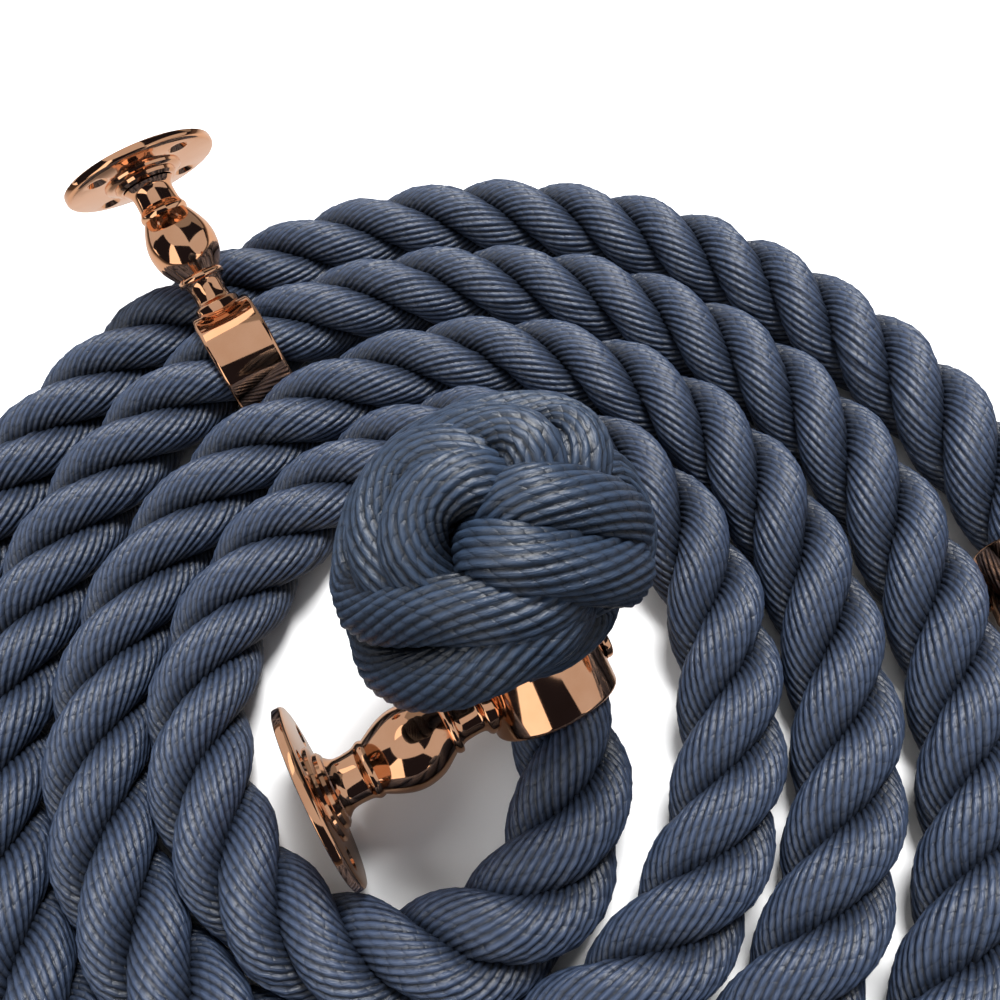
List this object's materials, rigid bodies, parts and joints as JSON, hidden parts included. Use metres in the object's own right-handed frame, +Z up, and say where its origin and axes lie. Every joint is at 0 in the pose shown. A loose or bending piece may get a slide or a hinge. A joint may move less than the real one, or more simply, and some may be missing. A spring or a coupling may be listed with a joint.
{
  "type": "handrail rope with brackets",
  "caption": "Thick three-strand handrail rope coiled flat, a ball knot on each end, with swivelling turned brackets that have round wall flanges.",
  "frame": {"origin": "on the floor, under the middle of the whole part", "axes": "+Z up, +X to the side the outer bracket points, -Y towards the side where the rope leaves the coil's middle"},
  "size_m": [0.3947, 0.3515, 0.1033],
  "materials": {
    "copper": "polished copper plate on brass",
    "steel": "plain zinc",
    "fibre": "matt laid synthetic yarn"
  },
  "bodies": {
    "rope_with_knots": {"rope": "fibre", "inner_knot": "fibre", "outer_knot": "fibre"},
    "upper_bracket": {"upper_wall_flange": "copper", "upper_stem": "copper", "upper_stem_stud": "steel", "upper_rope_ring": "copper"},
    "upper_screw": {"upper_clamp_screw": "copper"},
    "inner_bracket": {"inner_wall_flange": "copper", "inner_stem": "copper", "inner_stem_stud": "steel", "inner_rope_ring": "copper"},
    "inner_screw": {"inner_clamp_screw": "copper"},
    "outer_bracket": {"outer_wall_flange": "copper", "outer_stem": "copper", "outer_stem_stud": "steel", "outer_rope_ring": "copper"},
    "outer_screw": {"outer_clamp_screw": "copper"}
  },
  "joints": [
    {"name": "upper_swivel", "type": "hinge", "parent": "rope_with_knots", "child": "upper_bracket", "pos_m": [-0.0876, 0.113, 0.0171], "axis": [0.9107, 0.4131, 0], "range_deg": [0, 106]},
    {"name": "upper_screw_turn", "type": "hinge", "parent": "upper_bracket", "child": "upper_screw", "pos_m": [-0.0876, 0.113, 0.0171], "axis": [0.3299, -0.7273, -0.6018], "range_deg": [0, 720]},
    {"name": "inner_swivel", "type": "hinge", "parent": "rope_with_knots", "child": "inner_bracket", "pos_m": [-0.0087, -0.0054, 0.021], "axis": [-0.299, 0.8128, 0.5], "range_deg": [0, 30]},
    {"name": "inner_screw_turn", "type": "hinge", "parent": "inner_bracket", "child": "inner_screw", "pos_m": [-0.0087, -0.0054, 0.021], "axis": [0.927, 0.3717, -0.0497], "range_deg": [0, 720]},
    {"name": "outer_swivel", "type": "hinge", "parent": "rope_with_knots", "child": "outer_bracket", "pos_m": [0.1301, 0.003, 0.0171], "axis": [0.0349, -0.9994, 0], "range_deg": [-22, 110]},
    {"name": "outer_screw_turn", "type": "hinge", "parent": "outer_bracket", "child": "outer_screw", "pos_m": [0.1301, 0.003, 0.0171], "axis": [-0.8655, -0.0302, -0.5], "range_deg": [0, 720]}
  ]
}
